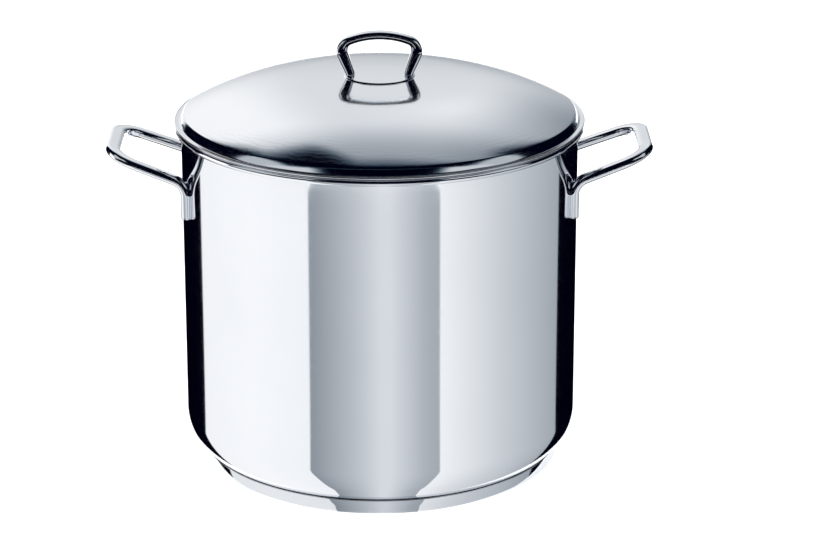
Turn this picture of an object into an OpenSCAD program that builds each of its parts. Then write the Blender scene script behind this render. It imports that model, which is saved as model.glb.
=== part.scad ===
// Water bath canner: a drawn stainless steel stock pot with a capsule base, a domed lid
// and a folding jar rack. Origin on the floor under the pot's axis, +Z up, handles along X.

/* [Pot] */
// Outside diameter of the pot wall
pot_d = 282; // [240:1:320]
// Height of the curled rim above the floor
pot_h = 250; // [200:1:300]
// Thickness of the drawn sheet
wall_t = 1; // [0.8:0.1:1.4]
// Outside radius of the rounded bottom corner
corner_r = 30.5; // [24:0.5:36]
// Outside radius of the curled rim
curl_r = 2.7; // [2.2:0.1:3.2]
// Angle through which the curl turns back under its outermost point
curl_angle = 110; // [60:5:120]

/* [Base] */
// Height of the pot bottom above the floor
base_h = 5; // [4:0.5:8]
// Outside diameter of the cap pressed round the base
cap_d = 258.6; // [250:0.2:264]
// Thickness of the cap sheet
cap_t = 0.6; // [0.5:0.1:1]
// Rounding of the cap's lower edge
cap_edge_r = 3; // [2:0.5:5]

/* [Side handles] */
// Distance of the outer edge of a handle from the pot's axis
handle_reach = 193.4; // [180:0.2:210]
// Width of the flat-oval rod
handle_w = 10.5; // [9:0.5:12]
// Thickness of the flat-oval rod
handle_t = 6.8; // [6:0.2:8]
// Height of the outer bar's centreline above the floor
handle_z = 234; // [150:1:236]
// Sine of the loop's upward slope, away from the wall
handle_rise = 0.352; // [0.28, 0.352]
// Sine of the angle at which each arm spreads towards the wall
handle_spread = 0.07584; // [0, 0.07584]
// Half length of the straight part of the outer bar
bar_half = 18.5; // [15:0.1:25]
// Bend radius of the two outer corners
handle_corner_r = 20; // [16:1:24]
// Straight length of each arm
arm_l = 28.6; // [26:0.2:30]
// Bend radius where an arm turns down onto the wall
leg_bend_r = 12; // [9:0.5:14]
// Straight length of each leg welded to the wall
leg_l = 16.6; // [12:0.2:24]

/* [Lid] */
// Thickness of the lid sheet
lid_t = 0.8; // [0.6:0.1:1]
// Radius of the rounded edge of the lid's flange
bead_r = 0.7; // [0.6:0.1:1.2]
// How far the lid's edge stands out past the pot's rim
bead_over = 0.3; // [0:0.1:1]
// Width of the flat flange inside the rounded edge
flange_w = 3; // [2.5:0.5:3.5]
// Width of the steep collar between flange and dome
collar_w = 4.5; // [4:0.5:6]
// Height of the dome's crown above the pot's rim
crown_h = 32; // [28:0.5:36]
// Radius of curvature of the flat middle of the dome
crown_r = 690; // [500:10:900]
// Radius of curvature of the dome's shoulder
shoulder_r = 215; // [200:1:240]
// Distance from the axis at which crown and shoulder meet
shoulder_start = 60; // [50:1:70]
// Depth to which the lid's skirt reaches into the pot
skirt_h = 5; // [4:0.5:8]
// Diameter of the raised disc in the middle of the lid
boss_d = 50; // [46:1:60]
// Height of the raised disc above the crown
boss_h = 1; // [0.8:0.1:1.5]

/* [Lid handle] */
// Overall height of the loop above the raised disc
loop_h = 31.6; // [31.6:0.1:40]
// Thickness of the loop's rod, seen from the front
loop_t = 7; // [6:0.5:8]
// Depth of the loop's rod, front to back
loop_w = 9; // [8:0.5:11]
// Curvature radius of the top bar
loop_top_r = 60; // [50:1:70]
// Bend radius of the loop's corners
loop_corner_r = 8; // [7:0.5:9]
// Sine of the inward slope of the loop's legs, and of the top bar's half angle
loop_lean = 0.352; // [0.28, 0.352]

/* [Jar rack] */
// Diameter of the rack's wire
wire_d = 4; // [3:0.5:4]
// Radius of the outermost ring, which keeps the jars off the wall
rim_ring_r = 128; // [126:1:130]
// Radius of the ring under the outer side of the jars
outer_ring_r = 105; // [100:1:105]
// Radius of the ring under the inner side of the jars
middle_ring_r = 62; // [50:1:75]
// Radius of the ring under the middle jar
inner_ring_r = 28; // [24:1:36]
// Number of spokes under the rings
spoke_n = 6; // [6]
// Height of the rings above the inside of the pot bottom
ring_h = 22; // [20:1:30]
// Distance of the rack handles' hinge lines from the axis
hinge_x = 111; // [111:0.5:112]
// Distance of the handle's eyes from the middle of the hinge bar
eye_y = 40; // [34:1:42]
// Length of the rack handles above the hinge line
bail_l = 104; // [80:1:104]
// Bend radius of the rack handles' corners
bail_corner_r = 10; // [8:1:14]
// Outward lean of a rack handle that rests on the wall
bail_lean = 12; // [6:0.5:12]

/* [Hidden] */

polished = "#d5d9de";
satin = "#b4b8bc";
aluminium = "#a9adb2";
wire_steel = "#bcc0c4";

$fn = 72;
round_fn = 144;     // what turns about the pot's axis
wire_fn = 24;       // sections of bent wire
dome_fn = 720;      // the dome's long, shallow arcs
gap = 0.3;          // between pieces that rest on one another but come apart
weld = 0.1;         // how deep welded wires sink into each other

pot_r = pot_d / 2;
flat_r = pot_r - corner_r;                  // flat part of the pot bottom
corner_z = base_h + corner_r;               // centre of the bottom corner
curl_x = pot_r - wall_t + curl_r;           // centre of the curled rim
curl_z = pot_h - curl_r;
cap_r = cap_d / 2;
core_rise = 4;                              // how far the core climbs round the bottom corner
floor_z = base_h + wall_t;                  // inside of the pot bottom

rise_angle = asin(handle_rise);
spread_angle = asin(handle_spread);
bar_x = handle_reach - handle_t / 2 - (handle_w - handle_t) / 2 * cos(rise_angle);
bend_reach = 100;                           // beyond any bend's outer side

crown_z = pot_h + crown_h;
join_angle = asin(shoulder_start / crown_r);        // where crown and shoulder are tangent
shoulder_x = shoulder_start * (1 - shoulder_r / crown_r);
shoulder_z = crown_z - crown_r + (crown_r - shoulder_r) * cos(join_angle);
bead_x = curl_x + curl_r + bead_over - bead_r;
bead_z = pot_h + gap + bead_r;
skirt_r = pot_r - wall_t - 2 * gap;
collar_foot_r = bead_x - flange_w;
collar_r = collar_foot_r - collar_w;        // where the dome turns down into the collar
collar_angle = asin((collar_r - shoulder_x) / shoulder_r);
collar_z = shoulder_z + shoulder_r * cos(collar_angle);
boss_r = boss_d / 2;
boss_z = crown_z + boss_h;

wire_r = wire_d / 2;
ring_z = floor_z + ring_h;
layer = wire_d - weld;                      // height of one layer of wires on the next
spoke_z = ring_z - layer;
hinge_z = ring_z + layer;
foot_z = floor_z + gap + wire_r;
foot_r = 96;                                // distance of the feet's legs from the axis
foot_half = foot_r / 2;
foot_bend_r = 6;
eye_bore_r = wire_r + 0.08;                 // running clearance round the hinge bar
eye_out_r = eye_bore_r + wire_d;
eye_w = 3.4;                                // width of the eye along the hinge bar

// ---- 2D profiles, x is the distance from the axis ----

// Strip of sheet bent round the origin from angle a0 to a1, up to half a turn
module bent_strip(r_in, r_out, a0, a1, fn = $fn) {
    reach = 1.1 * r_out / cos((a1 - a0) / 4);       // the wedge's sides clear the strip
    intersection() {
        difference() {
            circle(r = r_out, $fn = fn);
            circle(r = r_in, $fn = fn);
        }
        polygon(concat([[0, 0]], [for (i = [0:2])
            let (a = a0 + (a1 - a0) * i / 2) reach * [cos(a), sin(a)]]));
    }
}

// Everything inside the pot's outer surface, up to the rim
module pot_outline() {
    translate([0, base_h]) square([flat_r, corner_r]);
    translate([flat_r, corner_z]) circle(r = corner_r);
    translate([0, corner_z]) square([pot_r, curl_z - corner_z]);
}

// Rod section: round where w equals t, else a flat oval, w along x and t along y
module rod_section(w, t) {
    small = min(w, t);
    for (side = [-1, 1]) translate(side / 2 * [w - small, t - small]) circle(d = small, $fn = wire_fn);
    if (w != t) square([w > t ? w - t : w, w > t ? t : t - w], center = true);
}

// ---- Bent rod: each step draws its own length along +Z and carries its children on ----

module straight(l, w, t) {
    linear_extrude(l) rod_section(w, t);
    translate([0, 0, l]) children();
}

// Bend of up to 90 degrees towards +X, with the section's w along X and t along Y
module bend(angle, r, w, t) {
    translate([r, 0, 0]) {
        rotate([90, 0, 180]) intersection() {
            rotate_extrude() translate([r, 0]) rod_section(w, t);
            linear_extrude(2 * max(w, t), center = true)
                polygon(bend_reach * [[0, 0], [1, 0], [1, 1], [cos(angle), sin(angle)]]);
        }
        rotate([0, angle, 0]) translate([-r, 0, 0]) children();
    }
}

// ---- Pot ----

module pot_body() {
    color(polished) rotate_extrude($fn = round_fn) {
        translate([0, base_h]) square([flat_r, wall_t]);
        translate([flat_r, corner_z]) bent_strip(corner_r - wall_t, corner_r, -90, 0);
        translate([pot_r - wall_t, corner_z]) square([wall_t, curl_z - corner_z]);
        translate([curl_x, curl_z]) {
            bent_strip(curl_r - wall_t, curl_r, 0, 180);
            bent_strip(curl_r - wall_t, curl_r, -curl_angle, 0);
        }
    }
}

// Outline of the base out to radius r, from height z up, with a rounded lower edge
module base_outline(r, z, edge_r) {
    translate([0, z]) square([r - edge_r, corner_r / 2]);
    translate([0, z + edge_r]) square([r, corner_r / 2 - edge_r]);
    translate([r - edge_r, z + edge_r]) circle(r = edge_r);
}

module base_core() {
    color(aluminium) rotate_extrude($fn = round_fn) difference() {
        base_outline(cap_r - cap_t, cap_t, cap_edge_r - cap_t);
        pot_outline();
        translate([0, base_h + core_rise]) square([pot_r, corner_r]);
    }
}

module base_cap() {
    color(satin) rotate_extrude($fn = round_fn) difference() {
        base_outline(cap_r, 0, cap_edge_r);
        base_outline(cap_r - cap_t, cap_t, cap_edge_r - cap_t);
        pot_outline();
    }
}

// ---- Side handles ----

// Half of a handle's loop, from the middle of the outer bar to the end of one leg
module half_loop() {
    straight(bar_half, handle_w, handle_t)
        bend(90 - spread_angle, handle_corner_r, handle_w, handle_t)
            straight(arm_l, handle_w, handle_t)
                rotate(-90) bend(90 - rise_angle, leg_bend_r, handle_t, handle_w)
                    straight(leg_l, handle_t, handle_w);
}

module side_handle() {
    color(polished) difference() {
        translate([bar_x, 0, handle_z]) rotate([0, -rise_angle, 0])
            for (side = [0, 1]) mirror([0, side, 0])
                rotate([90, 0, 0]) mirror([1, 0, 0]) half_loop();
        cylinder(h = pot_h, r = pot_r, $fn = round_fn);
    }
}

// ---- Lid ----

module lid_shell() {
    color(polished) rotate_extrude($fn = round_fn) {
        translate([bead_x, bead_z]) circle(r = bead_r);
        translate([skirt_r - lid_t, bead_z - lid_t / 2]) square([bead_x - skirt_r + lid_t, lid_t]);
        translate([skirt_r - lid_t, pot_h - skirt_h]) square([lid_t, bead_z - pot_h + skirt_h]);
        collar();
        dome();
        raised_disc();
    }
}

// Steep ring between the lid's flange and its dome
module collar() {
    foot = bead_z + lid_t / 2;
    polygon([
        [collar_foot_r - lid_t, foot - lid_t], [collar_foot_r, foot - lid_t], [collar_foot_r, foot],
        [collar_r, collar_z], [collar_r - lid_t, collar_z - lid_t / 2],
        [collar_foot_r - lid_t, foot - lid_t / 2]
    ]);
}

// Crown and shoulder of the dome, two tangent arcs of sheet
module dome() {
    translate([shoulder_x, shoulder_z])
        bent_strip(shoulder_r - lid_t, shoulder_r, 90 - collar_angle, 90 - join_angle, dome_fn);
    translate([0, crown_z - crown_r])
        bent_strip(crown_r - lid_t, crown_r, 90 - join_angle, 90 - asin((boss_r - lid_t) / crown_r),
            2 * dome_fn);
}

module raised_disc() {
    translate([0, boss_z - lid_t]) square([boss_r, lid_t]);
    step_z = crown_z - crown_r + sqrt(pow(crown_r, 2) - pow(boss_r, 2)) - lid_t / 2;
    translate([boss_r - lid_t, step_z]) square([lid_t, boss_z - step_z]);
}

// ---- Lid handle ----

// Half of the lid's loop, from the middle of the top bar to one foot
module half_lid_loop() {
    bend(asin(loop_lean), loop_top_r, loop_t, loop_w)
        bend(90, loop_corner_r, loop_t, loop_w)
            straight(loop_h, loop_t, loop_w);
}

module lid_handle() {
    color(polished) intersection() {
        translate([0, 0, boss_z + loop_h - loop_t / 2])
            for (side = [0, 1]) mirror([side, 0, 0]) rotate([0, 90, 0]) half_lid_loop();
        translate([-boss_d, -loop_w, boss_z]) cube([2 * boss_d, 2 * loop_w, 2 * loop_h]);
    }
}

// ---- Jar rack ----

module wire_ring(r) {
    color(wire_steel) translate([0, 0, ring_z])
        rotate_extrude($fn = round_fn) translate([r, 0]) circle(r = wire_r, $fn = wire_fn);
}

module wire(l) {
    color(wire_steel) cylinder(h = l, r = wire_r, $fn = wire_fn);
}

// Spoke i of the rack, under the rings
module rack_spoke(i) {
    rotate((i - 0.5) * 360 / spoke_n) translate([inner_ring_r - wire_r, 0, spoke_z])
        rotate([0, 90, 0]) wire(rim_ring_r - inner_ring_r + wire_d);
}

// Foot i of the rack: a wire bent to a U that stands under two neighbouring spokes
module rack_foot(i) {
    leg_top = spoke_z - wire_r + weld;
    color(wire_steel) rotate((2 * i - 1) * 360 / spoke_n)
        translate([sqrt(3) / 2 * foot_r, 0, foot_z])
            for (side = [0, 1]) mirror([0, side, 0]) rotate([-90, 0, 0]) rotate(-90)
                straight(foot_half - foot_bend_r, wire_d, wire_d)
                    bend(90, foot_bend_r, wire_d, wire_d)
                        straight(leg_top - foot_z - foot_bend_r, wire_d, wire_d);
}

module hinge_bar(side) {
    half = sqrt(pow(rim_ring_r, 2) - pow(hinge_x, 2)) + wire_r;
    translate([side * hinge_x, half, hinge_z]) rotate([90, 0, 0]) wire(2 * half);
}

// Folding handle of the rack, with a flattened eye round the hinge bar at each end
module bail(side) {
    color(wire_steel) translate([side * hinge_x, 0, hinge_z]) rotate([0, side * bail_lean, 0])
        for (end = [0, 1]) mirror([0, end, 0]) {
            translate([0, eye_y, 0]) rotate([90, 0, 0]) difference() {
                cylinder(h = eye_w, r = eye_out_r, center = true);
                cylinder(h = 2 * eye_w, r = eye_bore_r, center = true);
            }
            translate([0, eye_y, wire_d]) rotate(-90)
                straight(bail_l - bail_corner_r - wire_d, wire_d, wire_d)
                    bend(90, bail_corner_r, wire_d, wire_d)
                        straight(eye_y - bail_corner_r, wire_d, wire_d);
        }
}

pot_body();
base_core();
base_cap();
mirror([1, 0, 0]) side_handle();  // left_handle
side_handle();  // right_handle
lid_shell();
lid_handle();
wire_ring(rim_ring_r);  // rack_rim_ring
wire_ring(outer_ring_r);  // rack_outer_ring
wire_ring(middle_ring_r);  // rack_middle_ring
wire_ring(inner_ring_r);  // rack_inner_ring
for (i = [1:spoke_n]) rack_spoke(i);
for (i = [1:spoke_n / 2]) rack_foot(i);
hinge_bar(-1);  // rack_left_hinge_bar
hinge_bar(1);  // rack_right_hinge_bar
bail(-1);  // rack_left_bail
bail(1);  // rack_right_bail
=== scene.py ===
# Water bath canner: a mirror-polished pot with a capsule base, a domed lid and a folding jar rack.
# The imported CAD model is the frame. Every piece here is a smooth surface worked out with numpy,
# in metres, standing where its CAD node stands.

import math

import bpy
import numpy as np
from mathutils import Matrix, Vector


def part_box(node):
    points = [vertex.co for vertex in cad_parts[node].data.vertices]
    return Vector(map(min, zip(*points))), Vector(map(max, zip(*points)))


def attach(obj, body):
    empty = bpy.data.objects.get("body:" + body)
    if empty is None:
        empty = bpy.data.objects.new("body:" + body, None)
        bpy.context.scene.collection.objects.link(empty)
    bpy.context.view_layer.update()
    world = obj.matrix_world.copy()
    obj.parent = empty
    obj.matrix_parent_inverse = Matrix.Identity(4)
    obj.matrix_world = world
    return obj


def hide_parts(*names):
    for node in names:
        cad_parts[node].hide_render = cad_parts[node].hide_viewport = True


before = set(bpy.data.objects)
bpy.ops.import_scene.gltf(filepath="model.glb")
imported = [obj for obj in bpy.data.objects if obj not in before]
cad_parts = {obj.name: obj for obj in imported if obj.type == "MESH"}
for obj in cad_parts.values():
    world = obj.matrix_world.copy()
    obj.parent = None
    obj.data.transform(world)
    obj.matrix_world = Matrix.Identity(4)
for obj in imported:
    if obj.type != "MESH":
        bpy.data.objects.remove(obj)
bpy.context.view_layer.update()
mm = 0.001
turnCount = 256     # points round a surface of revolution
print("frame loaded:", len(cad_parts), "CAD nodes")


def hexToLinear(code):
    # sRGB hex to linear light: ((c + 0.055) / 1.055) ^ 2.4
    srgb = np.array([int(code[i:i + 2], 16) for i in (1, 3, 5)]) / 255
    return (*np.where(srgb <= 0.04045, srgb / 12.92, ((srgb + 0.055) / 1.055) ** 2.4), 1.0)


def smooth(x, low, high):
    # smoothstep: 3 t^2 - 2 t^3 with t running from low to high
    t = np.clip((x - low) / (high - low), 0, 1)
    return t * t * (3 - 2 * t)


def line(start, end, steps=20):
    # straight run whose points bunch up at both ends: start + (end - start) (1 - cos(pi t)) / 2
    t = (0.5 - 0.5 * np.cos(np.linspace(0, np.pi, steps + 1)))[:, None]
    return np.array(start) + (np.array(end) - np.array(start)) * t


def arc(centre, radius, fromAngle, toAngle, steps=16):
    # circle run: centre + radius (cos a, sin a), angles in degrees
    a = np.radians(np.linspace(fromAngle, toAngle, steps + 1))[:, None]
    return np.array(centre) + radius * np.hstack([np.cos(a), np.sin(a)])


def hermite(start, startWay, end, endWay, steps=16):
    # cubic from start to end that leaves along startWay and arrives along endWay
    t = np.linspace(0, 1, steps + 1)[:, None]
    return ((2 * t**3 - 3 * t**2 + 1) * np.array(start) + (t**3 - 2 * t**2 + t) * np.array(startWay)
            + (3 * t**2 - 2 * t**3) * np.array(end) + (t**3 - t**2) * np.array(endWay))


def chain(*runs):
    # one run after another, each without the point that it shares with the one before
    kept = [runs[0]] + [run[1:] for run in runs[1:]]
    return np.vstack(kept)


def gridFaces(rows, columns, closeRows=False):
    # quads between neighbouring rows of a grid whose columns close into a loop
    i = np.arange(rows if closeRows else rows - 1)[:, None]
    j = np.arange(columns)[None, :]
    i2, j2 = (i + 1) % rows, (j + 1) % columns
    quads = [i * columns + j, i * columns + j2, i2 * columns + j2, i2 * columns + j]
    return np.stack(np.broadcast_arrays(*quads), axis=-1).reshape(-1, 4)


def makeObject(name, points, faces):
    mesh = bpy.data.meshes.new(name)
    mesh.from_pydata(np.asarray(points).tolist(), [], faces)
    mesh.polygons.foreach_set("use_smooth", [True] * len(mesh.polygons))
    mesh.update()
    made = bpy.data.objects.new(name, mesh)
    bpy.context.scene.collection.objects.link(made)
    return made


def revolve(profile, turns=turnCount):
    # surface of revolution (r cos a, r sin a, z). A profile that starts and ends on the axis
    # closes there in one point each; any other profile is a loop
    onAxis = abs(profile[0, 0]) < 1e-9 and abs(profile[-1, 0]) < 1e-9
    rings = profile[1:-1] if onAxis else profile[:-1]
    a = np.linspace(0, 2 * np.pi, turns, endpoint=False)
    grid = np.stack([rings[:, :1] * np.cos(a), rings[:, :1] * np.sin(a),
                     np.repeat(rings[:, 1:], turns, axis=1)], axis=-1).reshape(-1, 3)
    faces = gridFaces(len(rings), turns, closeRows=not onAxis).tolist()
    if onAxis:
        first, last = len(grid), len(grid) + 1
        j = np.arange(turns)
        j2 = (j + 1) % turns
        top = (len(rings) - 1) * turns
        faces += np.stack([np.full(turns, first), j2, j], axis=-1).tolist()
        faces += np.stack([np.full(turns, last), top + j, top + j2], axis=-1).tolist()
        grid = np.vstack([grid, [[0, 0, profile[0, 1]], [0, 0, profile[-1, 1]]]])
    return grid, faces


def rolled(v, axis, angle):
    # Rodrigues: v cos a + (k x v) sin a + k (k . v)(1 - cos a), for a whole run of angles
    a = np.atleast_1d(angle)[:, None]
    k = np.array(axis, float)
    return v * np.cos(a) + np.cross(k, v) * np.sin(a) + k * np.dot(v, k) * (1 - np.cos(a))


def walkRod(start, way, side, steps):
    # Bent rod: each step is a length, or (radius, degrees, "side", "up" or "down"), and carries the
    # frame on. A straight adds way * s; a bend adds radius (sin a way + (1 - cos a) turn)
    p, t, s = (np.array(v, float) for v in (start, way, side))
    points, ways, sides = [p[None]], [t[None]], [s[None]]
    for step in steps:
        u = np.cross(t, s)
        if isinstance(step, tuple):
            radius, degrees, turn = step
            a = np.radians(np.linspace(0, degrees, max(8, int(abs(degrees) / 4)) + 1))[1:]
            towards = {"side": s, "up": u, "down": -u}[turn]
            axis = np.cross(t, towards)
            run = p + radius * (np.sin(a)[:, None] * t + (1 - np.cos(a))[:, None] * towards)
            runWays, runSides = rolled(t, axis, a), rolled(s, axis, a)
        else:
            run = line(p, p + step * t, 12)[1:]
            runWays = np.repeat(t[None], 12, 0)
            runSides = np.repeat(s[None], 12, 0)
        points.append(run)
        ways.append(runWays)
        sides.append(runSides)
        p, t, s = run[-1], runWays[-1], runSides[-1]
    return np.vstack(points), np.vstack(ways), np.vstack(sides)


def mirrorRod(rod, axis):
    # the walked half, joined to its own mirror image across the plane where it starts
    points, ways, sides = rod
    flip = np.ones(3)
    flip[axis] = -1
    return (np.vstack([points[:0:-1] * flip, points]), np.vstack([-ways[:0:-1] * flip, ways]),
            np.vstack([sides[:0:-1] * flip, sides]))


def sweep(rod, width, thickness, power=2.0, around=40, endRound=0.3 * mm):
    # superellipse section (w/2 |cos b|^(2/p), t/2 |sin b|^(2/p)) with its signs, carried along the rod:
    # width lies along side. Both ends close over a small rounding into a flat cut
    points, ways, sides = rod
    ups = np.cross(ways, sides)
    count = len(points)
    width, thickness = np.broadcast_to(width, count), np.broadcast_to(thickness, count)
    b = np.linspace(0, 2 * np.pi, around, endpoint=False)
    u = np.sign(np.cos(b)) * np.abs(np.cos(b)) ** (2 / power) / 2
    v = np.sign(np.sin(b)) * np.abs(np.sin(b)) ** (2 / power) / 2
    q = np.linspace(0, np.pi / 2, 5)[1:]
    inset, back = endRound * (1 - np.cos(q)), endRound * np.sin(q)

    def ring(k, shrink, slide):
        return (points[k] + slide * ways[k] + np.outer(u * (width[k] - 2 * shrink), sides[k])
                + np.outer(v * (thickness[k] - 2 * shrink), ups[k]))

    body = (points[:, None] + (u * width[:, None])[..., None] * sides[:, None]
            + (v * thickness[:, None])[..., None] * ups[:, None])
    body[0] += endRound * ways[0]
    body[-1] -= endRound * ways[-1]
    heads = [ring(0, s, endRound - k) for s, k in zip(inset[::-1], back[::-1])]
    tails = [ring(-1, s, k - endRound) for s, k in zip(inset, back)]
    grid = np.concatenate([np.array(heads), body, np.array(tails)])
    rows = len(grid)
    flat = np.vstack([grid.reshape(-1, 3), grid[0].mean(0), grid[-1].mean(0)])
    j = np.arange(around)
    j2 = (j + 1) % around
    faces = gridFaces(rows, around).tolist()
    faces += np.stack([np.full(around, rows * around), j2, j], axis=-1).tolist()
    last = (rows - 1) * around
    faces += np.stack([np.full(around, rows * around + 1), last + j, last + j2], axis=-1).tolist()
    return flat, faces


def torus(radius, wire, height, turns=192, around=24, squash=1.0):
    # ((R + r cos b) cos a, (R + r cos b) sin a, z + squash r sin b)
    loop = arc((radius, 0), wire, 0, 360, around) * [1, squash] + [0, height]
    return revolve(loop, turns)


def nuggets(places, radius, height, around=12, rows=6):
    # one flattened ball at each place: place + (R sin c cos b, R sin c sin b, h cos c)
    c = np.linspace(0.02, np.pi - 0.02, rows)[:, None]
    b = np.linspace(0, 2 * np.pi, around, endpoint=False)
    ball = np.stack([radius * np.sin(c) * np.cos(b), radius * np.sin(c) * np.sin(b),
                     height * np.cos(c) * np.ones(around)], axis=-1)[::-1].reshape(-1, 3)
    caps = [list(range(around))[::-1], list(range((rows - 1) * around, rows * around))]
    one = gridFaces(rows, around).tolist() + caps
    points = (np.array(places)[:, None] + ball).reshape(-1, 3)
    faces = [[v + k * len(ball) for v in face] for k in range(len(places)) for face in one]
    return points, faces


def joined(*shells):
    # several closed shells as one mesh
    points, faces, offset = [], [], 0
    for shellPoints, shellFaces in shells:
        points.append(shellPoints)
        faces += [[v + offset for v in face] for face in shellFaces]
        offset += len(shellPoints)
    return np.vstack(points), faces


def turned(shell, degrees):
    # the shell turned about the pot's axis
    points, faces = shell
    a = math.radians(degrees)
    turn = np.array([[math.cos(a), -math.sin(a), 0], [math.sin(a), math.cos(a), 0], [0, 0, 1]])
    return points @ turn.T, faces


def finishPiece(name, shell, material, body, node):
    piece = makeObject(name, *shell)
    piece.data.materials.append(material)
    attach(piece, body)
    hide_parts(node)
    return piece


def addNode(tree, kind, settings=None, links=None):
    # one node: a setting is a property or an input's value, and a link is input: (node, output)
    node = tree.nodes.new(kind)
    for key, value in (settings or {}).items():
        if isinstance(key, str) and hasattr(node, key):
            setattr(node, key, value)
        else:
            node.inputs[key].default_value = value
    for key, (source, output) in (links or {}).items():
        tree.links.new(source.outputs[output], node.inputs[key])
    return node


def newMaterial(name, colour, roughness):
    # bare metal, ready for the patterns that vary it in the object's own coordinates
    material = bpy.data.materials.new(name)
    material.use_nodes = True
    tree = material.node_tree
    tree.nodes.clear()
    surface = addNode(tree, "ShaderNodeBsdfPrincipled",
                      {"Base Color": hexToLinear(colour), "Metallic": 1.0, "Roughness": roughness})
    addNode(tree, "ShaderNodeOutputMaterial", links={"Surface": (surface, "BSDF")})
    place = addNode(tree, "ShaderNodeTexCoord")
    return material, tree, surface, place


def roughened(tree, surface, pattern, low, high):
    # a pattern's 0 to 1 drives the roughness between two values
    spread = addNode(tree, "ShaderNodeMapRange", {"To Min": low, "To Max": high},
                     {"Value": (pattern, "Fac")})
    tree.links.new(spread.outputs["Result"], surface.inputs["Roughness"])


def tinted(tree, surface, pattern, dark, light):
    # a pattern's 0 to 1 runs the colour from dark to light
    ramp = addNode(tree, "ShaderNodeValToRGB", links={"Fac": (pattern, "Fac")})
    ramp.color_ramp.elements[0].color = hexToLinear(dark)
    ramp.color_ramp.elements[1].color = hexToLinear(light)
    tree.links.new(ramp.outputs["Color"], surface.inputs["Base Color"])


def bumped(tree, surface, pattern, depth):
    # a pattern's 0 to 1 stands for this much relief
    relief = addNode(tree, "ShaderNodeBump", {"Distance": depth, "Strength": 1.0},
                     {"Height": (pattern, "Fac")})
    tree.links.new(relief.outputs["Normal"], surface.inputs["Normal"])


def mirrorPolishedSheet():
    # deep-drawn 18/10 stainless sheet, mopped to a mirror while it turned: the reflections stay
    # sharp, with a faint haze in bands that run round the wall and a few wipe marks
    material, tree, surface, place = newMaterial("mirror_polished_stainless_sheet", "#eef1f5", 0.06)
    bands = addNode(tree, "ShaderNodeMapping", {"Scale": (3, 3, 260)}, {"Vector": (place, "Object")})
    mop = addNode(tree, "ShaderNodeTexNoise", {"Scale": 1.0, "Detail": 4.0, "Roughness": 0.6},
                  {"Vector": (bands, "Vector")})
    roughened(tree, surface, mop, 0.035, 0.1)
    wipes = addNode(tree, "ShaderNodeTexNoise", {"Scale": 9.0, "Detail": 3.0}, {"Vector": (place, "Object")})
    tinted(tree, surface, wipes, "#e9ecf1", "#f1f4f8")
    bumped(tree, surface, wipes, 0.02 * mm)
    return material


def polishedDome():
    # pressed stainless lid, polished on a lathe: rings of finer and coarser polish about the knob
    material, tree, surface, place = newMaterial("lathe_polished_stainless_lid", "#eef1f5", 0.1)
    rings = addNode(tree, "ShaderNodeTexWave",
                    {"wave_type": "RINGS", "rings_direction": "Z", "wave_profile": "SAW", "Scale": 90.0,
                     "Distortion": 6.0, "Detail": 3.0, "Detail Scale": 1.5}, {"Vector": (place, "Object")})
    roughened(tree, surface, rings, 0.07, 0.13)
    haze = addNode(tree, "ShaderNodeTexNoise", {"Scale": 14.0, "Detail": 3.0}, {"Vector": (place, "Object")})
    tinted(tree, surface, haze, "#e8ebf0", "#f0f3f7")
    bumped(tree, surface, rings, 0.004 * mm)
    return material


def polishedRod():
    # solid stainless rod, bent hot and barrel polished: a bright skin with a little orange peel
    material, tree, surface, place = newMaterial("barrel_polished_stainless_rod", "#eef1f5", 0.05)
    peel = addNode(tree, "ShaderNodeTexNoise", {"Scale": 420.0, "Detail": 2.0}, {"Vector": (place, "Object")})
    roughened(tree, surface, peel, 0.03, 0.09)
    haze = addNode(tree, "ShaderNodeTexNoise", {"Scale": 60.0, "Detail": 2.0}, {"Vector": (place, "Object")})
    tinted(tree, surface, haze, "#e6e9ee", "#f1f4f8")
    bumped(tree, surface, peel, 0.01 * mm)
    return material


def satinSheet():
    # the inside of the pot, left with the grain of a fine abrasive pad: soft streaks round the wall
    material, tree, surface, place = newMaterial("satin_stainless_sheet", "#c9cdd2", 0.28)
    bands = addNode(tree, "ShaderNodeMapping", {"Scale": (6, 6, 900)}, {"Vector": (place, "Object")})
    grain = addNode(tree, "ShaderNodeTexNoise", {"Scale": 1.0, "Detail": 6.0, "Roughness": 0.7},
                    {"Vector": (bands, "Vector")})
    roughened(tree, surface, grain, 0.2, 0.36)
    tinted(tree, surface, grain, "#bfc3c9", "#d3d7dc")
    bumped(tree, surface, grain, 0.03 * mm)
    return material


def turnedCap():
    # stainless cap pressed round the base and polished; its underside keeps fine turning rings
    material, tree, surface, place = newMaterial("turned_stainless_cap", "#e9ecf0", 0.1)
    rings = addNode(tree, "ShaderNodeTexWave",
                    {"wave_type": "RINGS", "rings_direction": "Z", "Scale": 260.0, "Distortion": 1.5,
                     "Detail": 2.0}, {"Vector": (place, "Object")})
    roughened(tree, surface, rings, 0.06, 0.2)
    tinted(tree, surface, rings, "#dde1e6", "#eef1f5")
    bumped(tree, surface, rings, 0.01 * mm)
    return material


def rolledAluminium():
    # pure aluminium blank between pot and cap: dull, with the streaks of the rolling mill
    material, tree, surface, place = newMaterial("rolled_aluminium_core", "#d6d8da", 0.4)
    mill = addNode(tree, "ShaderNodeMapping", {"Scale": (8, 500, 8)}, {"Vector": (place, "Object")})
    streaks = addNode(tree, "ShaderNodeTexNoise", {"Scale": 1.0, "Detail": 5.0}, {"Vector": (mill, "Vector")})
    roughened(tree, surface, streaks, 0.32, 0.5)
    tinted(tree, surface, streaks, "#c8cacc", "#e0e2e4")
    bumped(tree, surface, streaks, 0.02 * mm)
    return material


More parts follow.
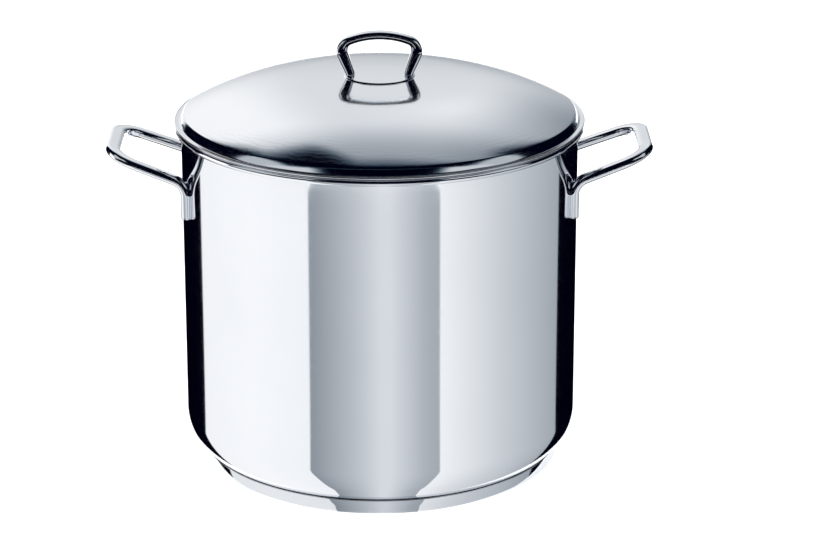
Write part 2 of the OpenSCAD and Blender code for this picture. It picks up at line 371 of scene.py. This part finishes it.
def drawnWire():
    # bright drawn stainless wire, spot welded and electropolished: shiny, with faint grey stains
    material, tree, surface, place = newMaterial("electropolished_stainless_wire", "#dfe2e6", 0.16)
    stains = addNode(tree, "ShaderNodeTexNoise", {"Scale": 130.0, "Detail": 4.0},
                     {"Vector": (place, "Object")})
    roughened(tree, surface, stains, 0.1, 0.26)
    tinted(tree, surface, stains, "#cdd1d6", "#e8ebee")
    bumped(tree, surface, stains, 0.03 * mm)
    return material


mirrorSheet, domeSheet, rodSteel = mirrorPolishedSheet(), polishedDome(), polishedRod()
satin, capSteel, aluminium, wireSteel = satinSheet(), turnedCap(), rolledAluminium(), drawnWire()
print("materials made:", len(bpy.data.materials))


pot = {
    "wallRadius": 141 * mm,     # outside of the drawn wall
    "sheet": 1 * mm,
    "cornerRadius": 30.5 * mm,  # outside radius of the rounded bottom corner
    "curlRadius": 2.7 * mm,     # outside radius of the curled rim
    "curlAngle": 110,           # how far the curl turns back under its outermost point
}


def potProfile():
    # outside from the axis out, up to the curl's hidden end, round the end, over the curl and
    # down the inside to the axis. The wall and the curl part at the curl's centre height
    low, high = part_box("pot_body")[0].z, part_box("pot_body")[1].z
    wall, sheet, corner, curl = (pot[k] for k in ("wallRadius", "sheet", "cornerRadius", "curlRadius"))
    flat, cornerZ = wall - corner, low + corner
    centre = (wall - sheet + curl, high - curl)
    turn = pot["curlAngle"]
    end = arc(centre, curl - sheet / 2, -turn, -turn, 1)[0]
    outside = chain(
        line((0, low), (flat, low)), arc((flat, cornerZ), corner, -90, 0, 36),
        line((wall, cornerZ), (wall, centre[1]), 40), arc(centre, curl - sheet, 180, -turn, 40))
    curled = chain(
        outside[-1:], arc(end, sheet / 2, 180 - turn, 360 - turn, 8), arc(centre, curl, -turn, 180, 56))
    inside = chain(
        curled[-1:], line((wall - sheet, centre[1]), (wall - sheet, cornerZ), 40),
        arc((flat, cornerZ), corner - sheet, 0, -90, 36), line((flat, low + sheet), (0, low + sheet)))
    return chain(outside, curled, inside), len(outside) + len(curled) - 1


def buildPot():
    profile, outsideRows = potProfile()
    piece = finishPiece("pot_shell", revolve(profile), mirrorSheet, "pot", "pot_body")
    # the faces run ring by ring up the outside and down the inside, then the two fans at the axis
    piece.data.materials.append(satin)
    rows = np.arange(len(piece.data.polygons)) // turnCount
    inner = (rows >= outsideRows - 2) & (rows < len(profile) - 3)
    inner[-turnCount:] = True
    piece.data.polygons.foreach_set("material_index", inner.astype(int))


cap = {
    "edgeRadius": 3 * mm,
    "sheet": 0.6 * mm,
    "topRound": 0.45 * mm,      # rounding of the cap's upper edge, beside the seam
    "seam": 0.25 * mm,          # how far the edge stays off the pot's corner
}


def buildCap():
    # underside, rounded lower edge, wall, rounded upper edge, and back along the inner face
    low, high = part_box("base_cap")
    radius, edge, sheet, lip = high.x, cap["edgeRadius"], cap["sheet"], cap["topRound"]
    cornerX = pot["wallRadius"] - pot["cornerRadius"]
    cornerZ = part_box("pot_body")[0].z + pot["cornerRadius"]
    seamX = radius - 2 * lip
    top = cornerZ - math.sqrt(pot["cornerRadius"] ** 2 - (seamX - cornerX) ** 2) - cap["seam"]
    outside = chain(
        line((0, low.z), (radius - edge, low.z)), arc((radius - edge, low.z + edge), edge, -90, 0, 20),
        line((radius, low.z + edge), (radius, top - lip), 12),
        arc((radius - lip, top - lip), lip, 0, 180, 10))
    inside = chain(
        outside[-1:], line((radius - 2 * lip, top - lip), (radius - 2 * lip, low.z + edge), 8),
        arc((radius - edge, low.z + edge), edge - sheet - lip / 2, 0, -90, 12),
        line((radius - edge, low.z + sheet), (0, low.z + sheet), 12))
    finishPiece("capsule_cap", revolve(chain(outside, inside)), capSteel, "pot", "base_cap")


buildPot()
buildCap()
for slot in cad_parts["base_core"].material_slots:
    slot.material = aluminium
print("pot and base made")


handle = {
    "width": 10.5 * mm,         # flat side of the rod
    "thickness": 6.8 * mm,
    "rise": math.degrees(math.asin(0.352)),       # upward slope of the loop, away from the wall
    "spread": math.degrees(math.asin(0.07584)),   # how far each arm opens towards the wall
    "barHalf": 18.5 * mm,
    "cornerRadius": 20 * mm,
    "armLength": 28.6 * mm,
    "legBend": 12 * mm,
    "legLength": 16.6 * mm,
    "height": 234 * mm,         # centreline of the outer bar
    "fullness": 2.7,            # 2 is an ellipse, more is a flatter oval
}


def buildHandle(name, node, direction):
    width, thickness = handle["width"], handle["thickness"]
    rise = math.radians(handle["rise"])
    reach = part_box("right_handle")[1].x - 0.12 * mm      # the full oval bulges past the plain one
    barX = reach - thickness / 2 - (width - thickness) / 2 * math.cos(rise)
    outward = np.array([math.cos(rise), 0, math.sin(rise)])
    half = walkRod((barX, 0, handle["height"]), (0, 1, 0), -outward, [
        handle["barHalf"], (handle["cornerRadius"], 90 - handle["spread"], "side"), handle["armLength"],
        (handle["legBend"], 90 - handle["rise"], "down"), handle["legLength"]])
    points, faces = sweep(mirrorRod(half, 1), width, thickness, handle["fullness"], 56)
    if direction < 0:
        points = points * [-1, -1, 1]
    finishPiece(name, (points, faces), rodSteel, "pot", node)


buildHandle("side_handle_right", "right_handle", 1)
buildHandle("side_handle_left", "left_handle", -1)
print("side handles made")


lid = {
    "sheet": 0.8 * mm,
    "crownRadius": 690 * mm,
    "shoulderRadius": 215 * mm,
    "shoulderStart": 60 * mm,   # distance from the axis where crown and shoulder meet
    "bossRadius": 25 * mm,
    "bossRise": 1 * mm,
    "edgeRadius": 0.7 * mm,     # rounded edge of the flange
    "flangeWidth": 3.2 * mm,
    "collarWidth": 2.8 * mm,    # from the flange in to where the dome starts to turn down
    "skirtRadius": 139.4 * mm,
    "skirtFillet": 0.4 * mm,    # rounding between skirt and flange
    "footFillet": 0.5 * mm,     # rounding between flange and collar
    "climbIn": 0.4 * mm,        # where the collar is steepest: in from the flange, and up from it
    "climbUp": 1 * mm,
    "potGap": 0.3 * mm,         # between the pot's rim and the lid's edge
}


def domeHeight(r, top):
    # crown: top - R + sqrt(R^2 - r^2), then a tangent arc of smaller radius, then the raised disc
    crown, shoulder, start = lid["crownRadius"], lid["shoulderRadius"], lid["shoulderStart"]
    middle = top - crown + np.sqrt(crown ** 2 - r ** 2)
    shoulderX = start * (1 - shoulder / crown)
    shoulderZ = top - crown + (crown - shoulder) * math.cos(math.asin(start / crown))
    outer = shoulderZ + np.sqrt(shoulder ** 2 - np.maximum(r - shoulderX, 0) ** 2)
    step = lid["bossRise"] * (1 - smooth(r, lid["bossRadius"] - 1.2 * mm, lid["bossRadius"] + 0.4 * mm))
    return np.where(r < start, middle, outer) + step


def lidProfile():
    # underside from the axis outwards, down and up the skirt, round the flange's edge, and back
    # in over the flange, the turned-down collar and the dome
    boxLow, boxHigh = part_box("lid_shell")
    sheet, edge, skirt, fillet = (lid[k] for k in ("sheet", "edgeRadius", "skirtRadius", "skirtFillet"))
    edgeX, edgeZ = boxHigh.x - edge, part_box("pot_body")[1].z + lid["potGap"] + edge
    top = boxHigh.z - lid["bossRise"]
    boss = lid["bossRadius"]
    footX = edgeX - lid["flangeWidth"]
    r = np.concatenate([
        np.linspace(0, boss - 1.6 * mm, 8), np.linspace(boss - 1.4 * mm, boss + 0.6 * mm, 14),
        np.linspace(boss + 1 * mm, footX - lid["collarWidth"] - 0.6 * mm, 64)])
    dome = np.stack([r, domeHeight(r, top)], axis=-1)
    way = np.gradient(dome, axis=0)
    way /= np.linalg.norm(way, axis=1)[:, None]
    under = dome + sheet * np.stack([way[:, 1], -way[:, 0]], axis=-1)
    under[0] = [0, dome[0, 1] - sheet]
    flangeTop, flangeUnder = edgeZ + sheet / 2, edgeZ - sheet / 2
    grip = math.degrees(math.asin(sheet / 2 / edge))
    wrap = edge * math.cos(math.radians(grip))
    foot = np.array([footX + lid["footFillet"], flangeTop])
    # the collar leaves the flange flat, climbs at about 65 degrees and runs into the dome's slope
    climb = np.array([footX - lid["climbIn"], flangeTop + lid["climbUp"]])
    collar = hermite(foot, (-1.2 * mm, 0), climb, (-0.6 * mm, 1.4 * mm), 12)
    shoulder = hermite(climb, (-1.9 * mm, 4.4 * mm), dome[-1], -3.4 * mm * way[-1], 24)
    bottom = boxLow.z + sheet / 2
    inner = skirt - sheet
    return chain(
        under,
        hermite(under[-1], 0.8 * mm * way[-1], (inner, flangeUnder), (0, -5 * mm), 12),
        line((inner, flangeUnder), (inner, bottom), 8),
        arc((skirt - sheet / 2, bottom), sheet / 2, -180, 0, 8),
        line((skirt, bottom), (skirt, flangeUnder - fillet), 8),
        arc((skirt + fillet, flangeUnder - fillet), fillet, 180, 90, 6),
        line((skirt + fillet, flangeUnder), (edgeX - wrap, flangeUnder), 6),
        arc((edgeX, edgeZ), edge, -180 + grip, 180 - grip, 24),
        line((edgeX - wrap, flangeTop), foot, 6), collar, shoulder, dome[::-1])


finishPiece("lid_dome", revolve(lidProfile()), domeSheet, "lid", "lid_shell")


knob = {
    "barThickness": 6 * mm,     # seen from the front, at the top
    "legThickness": 8.2 * mm,   # where the legs are thickest
    "footThickness": 6.4 * mm,
    "depth": 9 * mm,
    "topRadius": 60 * mm,       # curvature of the top bar
    "cornerRadius": 8 * mm,
    "lean": math.degrees(math.asin(0.352)),
    "fullness": 2.9,
    "topInset": 3.5 * mm,       # from the loop's highest point down to its centreline
    "footSink": 0.8 * mm,
}


def buildKnob():
    low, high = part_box("lid_handle")
    start = (0, 0, high.z - knob["topInset"])
    drop = start[2] - low.z
    lean = knob["lean"]
    slope = math.radians(lean)
    turnDrop = (knob["topRadius"] - knob["cornerRadius"]) * (1 - math.cos(slope))
    cornerDrop = knob["cornerRadius"] * (1 + math.sin(slope))
    leg = (drop - turnDrop - cornerDrop) / math.cos(slope) + knob["footSink"]
    half = walkRod(start, (1, 0, 0), (0, 0, -1), [
        (knob["topRadius"], lean, "side"), (knob["cornerRadius"], 90, "side"), leg])
    rod = mirrorRod(half, 0)
    depth = 1 - (rod[0][:, 2] - low.z) / (high.z - low.z)       # 0 at the top, 1 at the feet
    body = knob["barThickness"] + (knob["legThickness"] - knob["barThickness"]) * smooth(depth, 0.15, 0.5)
    thickness = body - (knob["legThickness"] - knob["footThickness"]) * smooth(depth, 0.55, 1.0)
    shell = sweep(rod, thickness, knob["depth"], knob["fullness"], 48)
    finishPiece("lid_loop", shell, rodSteel, "lid", "lid_handle")


buildKnob()
print("lid made")


rack = {
    "wire": 2 * mm,             # radius of the wire
    "footRadius": 96 * mm,      # distance of the feet's corners from the axis
    "footBend": 6 * mm,
    "eyeY": 40 * mm,
    "eyeBore": 2.08 * mm,
    "eyeWidth": 3.4 * mm,
    "bailLength": 104 * mm,
    "bailBend": 10 * mm,
    "bailLean": 12,
    "weldRadius": 1.5 * mm,
    "weldHeight": 1.1 * mm,
}


def straightRod(start, end):
    start, end = np.array(start, float), np.array(end, float)
    way = (end - start) / np.linalg.norm(end - start)
    side = np.cross(way, (0, 0, 1))
    return walkRod(start, way, side, [np.linalg.norm(end - start)])


def wireOf(rod):
    return sweep(rod, 2 * rack["wire"], 2 * rack["wire"], 2.0, 24, 0.6 * mm)


def buildRings():
    # each ring carries the weld beads by which the six spokes hang under it
    spokeZ = (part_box("rack_spoke_1")[0].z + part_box("rack_spoke_1")[1].z) / 2
    angles = np.radians(30 + 60 * np.arange(6))
    for word in ("rim", "outer", "middle", "inner"):
        low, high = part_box(f"rack_{word}_ring")
        radius, height = high.x - rack["wire"], (low.z + high.z) / 2
        places = np.stack([radius * np.cos(angles), radius * np.sin(angles),
                           np.full(6, (height + spokeZ) / 2)], axis=-1)
        welds = nuggets(places, rack["weldRadius"], rack["weldHeight"])
        shell = joined(torus(radius, rack["wire"], height), welds)
        finishPiece(f"rack_ring_{word}", shell, wireSteel, "rack", f"rack_{word}_ring")


def buildSpokes():
    # six straight wires under the rings, one every 60 degrees
    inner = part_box("rack_inner_ring")[1].x - 2 * rack["wire"]
    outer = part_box("rack_rim_ring")[1].x
    z = (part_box("rack_spoke_1")[0].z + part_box("rack_spoke_1")[1].z) / 2
    spoke = wireOf(straightRod((inner, 0, z), (outer, 0, z)))
    for i in range(6):
        finishPiece(f"spoke_{i + 1}", turned(spoke, 30 + 60 * i), wireSteel, "rack",
                    f"rack_spoke_{i + 1}")


def buildFeet():
    # a U of wire on every other side of a hexagon, its two ends up under neighbouring spokes
    low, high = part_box("rack_foot_1")
    half, bend = rack["footRadius"] / 2, rack["footBend"]
    x = rack["footRadius"] * math.cos(math.radians(30))
    z = low.z + rack["wire"]
    rod = walkRod((x, 0, z), (0, 1, 0), (0, 0, 1), [half - bend, (bend, 90, "side"), high.z - z - bend])
    foot = wireOf(mirrorRod(rod, 1))
    for i in range(3):
        finishPiece(f"foot_{i + 1}", turned(foot, 60 + 120 * i), wireSteel, "rack",
                    f"rack_foot_{i + 1}")


def buildBails():
    # each handle is walked from one eye up and over to the middle, then turned about and mirrored
    for word, side in (("left", -1), ("right", 1)):
        low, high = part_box(f"rack_{word}_hinge_bar")
        x, z = (low.x + high.x) / 2, (low.z + high.z) / 2
        bar = wireOf(straightRod((x, low.y, z), (x, high.y, z)))
        finishPiece(f"hinge_bar_{word}", bar, wireSteel, "rack", f"rack_{word}_hinge_bar")
        bore, wire, bend = rack["eyeBore"], rack["wire"], rack["bailBend"]
        lean = math.radians(side * rack["bailLean"])
        up = np.array([math.sin(lean), 0, math.cos(lean)])
        foot = np.array([x, rack["eyeY"], z]) + up * (bore + wire)
        straight = rack["bailLength"] - bend - bore - wire
        half = walkRod(foot, up, (0, -1, 0), [straight, (bend, 90, "side"), rack["eyeY"] - bend])
        points, ways, sides = (v[::-1] for v in half)
        rod = mirrorRod((points, -ways, sides), 1)
        ringPoints, ringFaces = torus(bore + wire, wire, 0, 48, 20, rack["eyeWidth"] / 2 / wire)
        eyes = []
        for end in (-1, 1):
            # the ring's own axis is laid along Y, and its faces stay outwards
            laid = np.stack([ringPoints[:, 0], ringPoints[:, 2], -ringPoints[:, 1]], axis=-1)
            eyes.append((laid + [x, end * rack["eyeY"], z], ringFaces))
        shell = joined(wireOf(rod), *eyes)
        finishPiece(f"bail_{word}", shell, wireSteel, f"{word}_bail", f"rack_{word}_bail")


buildRings()
buildSpokes()
buildFeet()
buildBails()
print("jar rack made")


studio = {
    "coolness": 0.07,           # how much bluer a dark card is than a white one
    "tentRadius": 6.0,
    "floorRadius": 5.5,
    "cardHeight": 0.4 * mm,     # the cards lie on the floor
    "cardLeft": -20.7,          # angles round the wall between which it mirrors the front card
    "cardRight": 17.2,
    "cardCorner": 0.05,         # rounding of the front card's far corners
    "roundReach": 0.075,        # how far from the pot its near corners start to round
    "roundDepth": 0.34,
    "cardReach": 0.785,         # length of the front card, measured from the wall
    "flagReach": 0.84,
    "tableRadius": 0.97,        # past it lies a black carpet
}


def glow(name):
    # plain card or fabric lit from behind: its tone is the mesh's own attribute
    material = bpy.data.materials.new(name)
    material.use_nodes = True
    tree = material.node_tree
    tree.nodes.clear()
    tone = addNode(tree, "ShaderNodeAttribute", {"attribute_name": "tone"})
    light = addNode(tree, "ShaderNodeEmission", {"Strength": 1.0}, {"Color": (tone, "Color")})
    addNode(tree, "ShaderNodeOutputMaterial", links={"Surface": (light, "Emission")})
    return material


def onlyReflected(thing):
    # seen in the steel, but neither by the camera nor as a source of light or shade
    thing.visible_camera = False
    thing.visible_diffuse = False
    thing.visible_shadow = False
    thing.visible_transmission = False


def paintTone(thing, tone):
    # display tone as linear light, tone ^ 2.2, a little cooler where it is darker
    cool = studio["coolness"] * (1 - tone)
    shade = np.stack([tone - cool, tone, tone + cool], axis=-1)
    linear = np.clip(shade, 0.0, 1.2) ** 2.2
    colours = thing.data.color_attributes.new("tone", "FLOAT_COLOR", "POINT")
    colour = np.hstack([linear, np.ones((len(tone), 1))])
    colours.data.foreach_set("color", colour.astype(np.float32).ravel())


def tentTone(d):
    # d are unit directions from the pot. Over is the angle from the back horizon over the top to
    # the front one, across the angle to the right, compass the angle round from the front
    over = np.degrees(np.arctan2(d[:, 2], d[:, 1]))
    across = np.degrees(np.arcsin(np.clip(d[:, 0], -1, 1)))
    compass = np.abs(np.degrees(np.arctan2(d[:, 0], -d[:, 1])))
    height = np.degrees(np.arcsin(np.clip(d[:, 2], -1, 1)))
    # back wall: white on the left, fading to grey on the right, darker towards the horizon
    rightFade = 0.40 - 0.18 * smooth(over, 15, 45)
    tone = 1.02 - 0.11 * smooth(across, -16, -3) - rightFade * smooth(across, 6, 28)
    tone = tone + 0.32 * smooth(across, 34, 50)
    dip = 0.08 + 0.18 * np.exp(-((across - 2) / 8) ** 2)
    tone = tone - dip * np.exp(-((over + 1) / 11) ** 2)
    tone = tone + 0.06 * np.exp(-((across - 8) / 7) ** 2 - ((over - 36) / 10) ** 2)
    tone = tone * (1 - 0.26 * smooth(over, 44, 66))
    # ceiling: a black cloth, hung lower on the left, to well over the camera
    edge = 60 + 11 * smooth(across, -12, -3)
    cloth = smooth(over, edge - 5, edge + 6) * (1 - smooth(over, 124, 134))
    cloth = cloth * (1 - smooth(np.abs(across), 38, 50))
    tone = tone * (1 - 0.97 * cloth)
    # front wall: light at both sides, over a black lower part
    front = 0.85 * (1 - smooth(over, 150, 160)) * smooth(np.abs(across), 24, 36)
    tone = np.where(over > 129, front * (1 - cloth), tone)
    # side flags, with a white strip low in the left one
    sides = smooth(compass, 86, 92) * (1 - smooth(compass, 143, 149)) * (1 - smooth(height, 48, 58))
    tone = tone * (1 - 0.97 * sides)
    strip = smooth(compass, 88, 90) * (1 - smooth(compass, 110, 112)) * (1 - smooth(height, 8, 14))
    return np.clip(np.maximum(tone, 1.04 * strip * (across < 0)), 0.02, 1.1)


def buildTent():
    # a sphere from a little below the horizon up, closed over the top by one small face
    rows, columns = 160, 288
    a = np.linspace(0, 2 * np.pi, columns, endpoint=False)
    b = np.radians(np.linspace(-14, 89.5, rows))[:, None]
    way = np.stack([np.cos(b) * np.cos(a), np.cos(b) * np.sin(a), np.sin(b) * np.ones(columns)], axis=-1)
    way = way.reshape(-1, 3)
    faces = gridFaces(rows, columns).tolist() + [list(range((rows - 1) * columns, rows * columns))]
    tent = makeObject("studio_tent", way * studio["tentRadius"], faces)
    paintTone(tent, tentTone(way))
    tent.data.materials.append(glow("backlit_tent_fabric"))
    onlyReflected(tent)


# how bright a card the wall mirrors at each angle round it: black flag, white card, grey front
# card, a card that fades from white to grey, black flag
wallAngles = [-90, -63.9, -63.5, -40, -20.8, -20.6, -16, -8, 0, 3, 8, 13, 17.1, 17.3, 26, 38, 50,
              63.2, 63.6, 90]
wallTones = [0.01, 0.01, 1.01, 1.03, 1.01, 0.60, 0.67, 0.78, 0.90, 0.90, 0.82, 0.73, 0.69, 1.0, 0.94,
             0.84, 0.76, 0.68, 0.01, 0.01]


def buildCards():
    # The floor as the upright wall mirrors it: from the wall's point at angle f the line runs off
    # at angle 2 f, so a card edge along that line stands upright in the wall
    nominal = np.unique(np.concatenate([np.linspace(-90, 90, 721), wallAngles]))
    left, right = studio["cardLeft"], studio["cardRight"]
    front = (nominal > left) & (nominal < right)
    middle, half = (left + right) / 2, (right - left) / 2
    t = np.clip((np.abs(nominal - middle) / half - 0.8) / 0.2, 0, 1)
    cornered = studio["cardReach"] - studio["cardCorner"] * (1 - np.sqrt(1 - t ** 2))
    reach = np.where(front, cornered, studio["flagReach"])
    share = np.concatenate([np.linspace(0, 0.16, 20), np.linspace(0.18, 1, 40)])[:, None]
    inner = -14 * mm
    span = inner + share * (reach - inner)
    # the front card narrows towards the pot in a quarter round
    t = np.clip(1 - span / studio["roundReach"], 0, 1)
    rounding = 1 - np.sqrt(1 - t ** 2)
    squeeze = 1 + studio["roundDepth"] * rounding * (1 - smooth(np.abs(nominal), 24, 44))
    f = np.radians(nominal / squeeze)
    start = np.stack([np.sin(f), -np.cos(f)], axis=-1) * pot["wallRadius"]
    way = np.stack([np.sin(2 * f), -np.cos(2 * f)], axis=-1)
    flat = start + span[..., None] * way
    grid = np.concatenate([flat, np.full(flat.shape[:2] + (1,), studio["cardHeight"])], axis=-1)
    rows, columns = grid.shape[:2]
    i, j = np.arange(rows - 1)[:, None], np.arange(columns - 1)[None, :]
    quads = np.stack([i * columns + j, i * columns + j + 1, (i + 1) * columns + j + 1,
                      (i + 1) * columns + j], axis=-1).reshape(-1, 4)
    cards = makeObject("floor_cards", grid.reshape(-1, 3), quads.tolist())
    paintTone(cards, np.tile(np.interp(nominal, wallAngles, wallTones), rows))
    cards.data.materials.append(glow("painted_floor_cards"))
    onlyReflected(cards)


def buildCarpet():
    # black carpet past the table's edge, in two pieces with a light gap between them on the left
    count = 60
    for name, low, high in (("carpet_left", -150, -112), ("carpet_front", -88, 150)):
        a = np.radians(np.linspace(low, high, count))
        rim = np.stack([np.sin(a), -np.cos(a), np.zeros(count)], axis=-1)
        lift = [0, 0, studio["cardHeight"] / 2]
        points = np.vstack([rim * studio["tableRadius"], rim * (studio["floorRadius"] - 0.1)]) + lift
        j = np.arange(count - 1)
        quads = np.stack([j, j + 1, j + count + 1, j + count], axis=-1)
        carpet = makeObject(name, points, quads.tolist())
        paintTone(carpet, np.full(2 * count, 0.03))
        carpet.data.materials.append(glow("black_needle_felt_" + name))
        onlyReflected(carpet)


def buildFloor():
    # backlit opal acrylic table: an even pale white that shows only a breath of shade
    rim = arc((0, 0), studio["floorRadius"], 0, 360, 96)[:-1]
    points = np.hstack([rim, np.zeros((len(rim), 1))])
    floor = makeObject("studio_floor", points, [list(range(len(rim)))])
    material = bpy.data.materials.new("backlit_opal_acrylic")
    material.use_nodes = True
    surface = material.node_tree.nodes["Principled BSDF"]
    surface.inputs["Base Color"].default_value = hexToLinear("#d8d8d8")
    surface.inputs["Roughness"].default_value = 0.6
    surface.inputs["Specular IOR Level"].default_value = 0.0
    surface.inputs["Emission Color"].default_value = hexToLinear("#ffffff")
    surface.inputs["Emission Strength"].default_value = 0.72
    floor.data.materials.append(material)


def buildLights():
    world = bpy.data.worlds.new("studio_world")
    world.use_nodes = True
    world.node_tree.nodes["Background"].inputs["Color"].default_value = (1, 1, 1, 1)
    world.node_tree.nodes["Background"].inputs["Strength"].default_value = 1.0
    bpy.context.scene.world = world
    data = bpy.data.lights.new("soft_overhead", "AREA")
    data.shape = "DISK"
    data.size = 3.0
    data.energy = 60
    light = bpy.data.objects.new("soft_overhead", data)
    place = Vector((-0.6, -0.8, 3.0))
    light.location = place
    light.rotation_euler = (-place).to_track_quat("-Z", "Y").to_euler()
    light.visible_glossy = False
    light.visible_camera = False
    bpy.context.scene.collection.objects.link(light)


buildTent()
buildCards()
buildCarpet()
buildFloor()
buildLights()
print("studio made")


view = {
    "elevation": 19.8,
    "distance": 2.2,
    "lens": 132.4,
    "height": 0.119,            # point on the pot's axis that the distance is measured from
    "right": 23.4 * mm,         # the view's middle lies this far right of that point, and above it
    "above": 12.0 * mm,
}


def buildCamera():
    a = math.radians(view["elevation"])
    back = Vector((0, -math.cos(a), math.sin(a)))
    middle = Vector((0, 0, view["height"]))
    data = bpy.data.cameras.new("camera")
    data.lens, data.sensor_width = view["lens"], 36
    camera = bpy.data.objects.new("camera", data)
    camera.location = middle + view["distance"] * back
    aim = middle + Vector((view["right"], 0, 0)) + view["above"] * Vector((0, math.sin(a), math.cos(a)))
    camera.rotation_euler = (aim - camera.location).to_track_quat("-Z", "Y").to_euler()
    bpy.context.scene.collection.objects.link(camera)
    bpy.context.scene.camera = camera


buildCamera()
bpy.context.scene.view_settings.view_transform = "Standard"
print("camera made")
